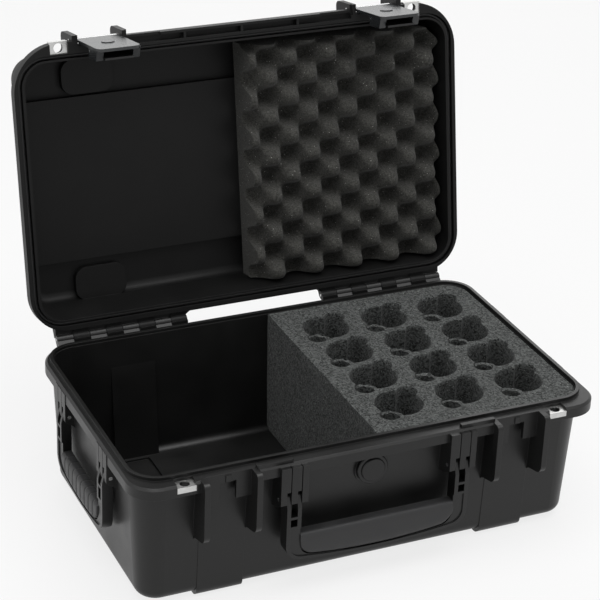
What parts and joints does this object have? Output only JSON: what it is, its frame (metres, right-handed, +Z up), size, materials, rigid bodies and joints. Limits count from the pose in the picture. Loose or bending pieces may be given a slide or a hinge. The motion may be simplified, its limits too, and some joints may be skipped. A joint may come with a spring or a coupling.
{
  "type": "microphone case",
  "caption": "Hard-shell microphone case with a hinged lid, pull latches, folding cushioned handles, a pressure valve, a foam block with round wells and egg-crate foam in the lid.",
  "frame": {"origin": "middle of the tub's footprint, on the ground plane of the skids", "axes": "+X along the length toward the foam side, -Y toward the latches and the front handle, +Z up; the rest pose has the lid open against its stops"},
  "size_m": [0.559, 0.4729, 0.5118],
  "materials": {
    "case_shell": "fine-textured moulded resin",
    "gasket": "satin",
    "valve_seal": "satin",
    "padlock_plate": "brushed stainless",
    "pins": "ground stainless",
    "spring": "drawn wire",
    "latch": "fine-textured moulded nylon",
    "latch_trigger": "fine-textured moulded nylon",
    "handle_frame": "fine-textured moulded nylon",
    "handle_cushion": "soft matte overmould",
    "valve": "satin",
    "valve_nut": "satin",
    "block_foam": "open-cell polyurethane foam",
    "egg_crate_foam": "open-cell polyurethane foam"
  },
  "bodies": {
    "base": {"base_shell": "case_shell", "hinge_pin_left": "pins", "hinge_pin_right": "pins", "base_padlock_plate_left": "padlock_plate", "base_padlock_plate_right": "padlock_plate", "valve_body": "valve", "valve_cap": "valve", "valve_seal": "valve_seal", "valve_nut": "valve_nut", "mic_foam": "block_foam", "front_handle_pins": "pins", "left_handle_pins": "pins", "right_handle_pins": "pins"},
    "lid": {"lid_shell": "case_shell", "lid_gasket": "gasket", "lid_foam": "egg_crate_foam", "lid_padlock_plate_left": "padlock_plate", "lid_padlock_plate_right": "padlock_plate", "latch_pin_left": "pins", "latch_pin_right": "pins"},
    "latch_left": {"latch_body_left": "latch", "trigger_pin_left": "pins", "trigger_spring_left": "spring"},
    "latch_right": {"latch_body_right": "latch", "trigger_pin_right": "pins", "trigger_spring_right": "spring"},
    "trigger_left": {"latch_trigger_left": "latch_trigger"},
    "trigger_right": {"latch_trigger_right": "latch_trigger"},
    "front_handle": {"front_handle_frame": "handle_frame", "front_handle_grip": "handle_cushion"},
    "left_handle": {"left_handle_frame": "handle_frame", "left_handle_grip": "handle_cushion"},
    "right_handle": {"right_handle_frame": "handle_frame", "right_handle_grip": "handle_cushion"}
  },
  "joints": [
    {"name": "lid_hinge", "type": "hinge", "parent": "base", "child": "lid", "pos_m": [0, 0.1714, 0.1629], "axis": [1, 0, 0], "range_deg": [0, 100.2]},
    {"name": "latch_left_swing", "type": "hinge", "parent": "lid", "child": "latch_left", "pos_m": [-0.1709, 0.24368, 0.49627], "axis": [1, 0, 0], "range_deg": [-75, 0]},
    {"name": "trigger_left_pull", "type": "hinge", "parent": "latch_left", "child": "trigger_left", "pos_m": [-0.1709, 0.19356, 0.5001], "axis": [1, 0, 0], "range_deg": [-15, 0], "stiffness_Nm_per_rad": 0.06, "springref_deg": 14.32},
    {"name": "latch_right_swing", "type": "hinge", "parent": "lid", "child": "latch_right", "pos_m": [0.1709, 0.24368, 0.49627], "axis": [1, 0, 0], "range_deg": [-75, 0]},
    {"name": "trigger_right_pull", "type": "hinge", "parent": "latch_right", "child": "trigger_right", "pos_m": [0.1709, 0.19356, 0.5001], "axis": [1, 0, 0], "range_deg": [-15, 0], "stiffness_Nm_per_rad": 0.06, "springref_deg": 14.32},
    {"name": "front_handle_swing", "type": "hinge", "parent": "base", "child": "front_handle", "pos_m": [0, -0.17, 0.119], "axis": [-1, 0, 0], "range_deg": [0, 95]},
    {"name": "left_handle_swing", "type": "hinge", "parent": "base", "child": "left_handle", "pos_m": [-0.271, 0, 0.129], "axis": [0, 1, 0], "range_deg": [0, 90]},
    {"name": "right_handle_swing", "type": "hinge", "parent": "base", "child": "right_handle", "pos_m": [0.271, 0, 0.129], "axis": [0, -1, 0], "range_deg": [0, 90]}
  ]
}
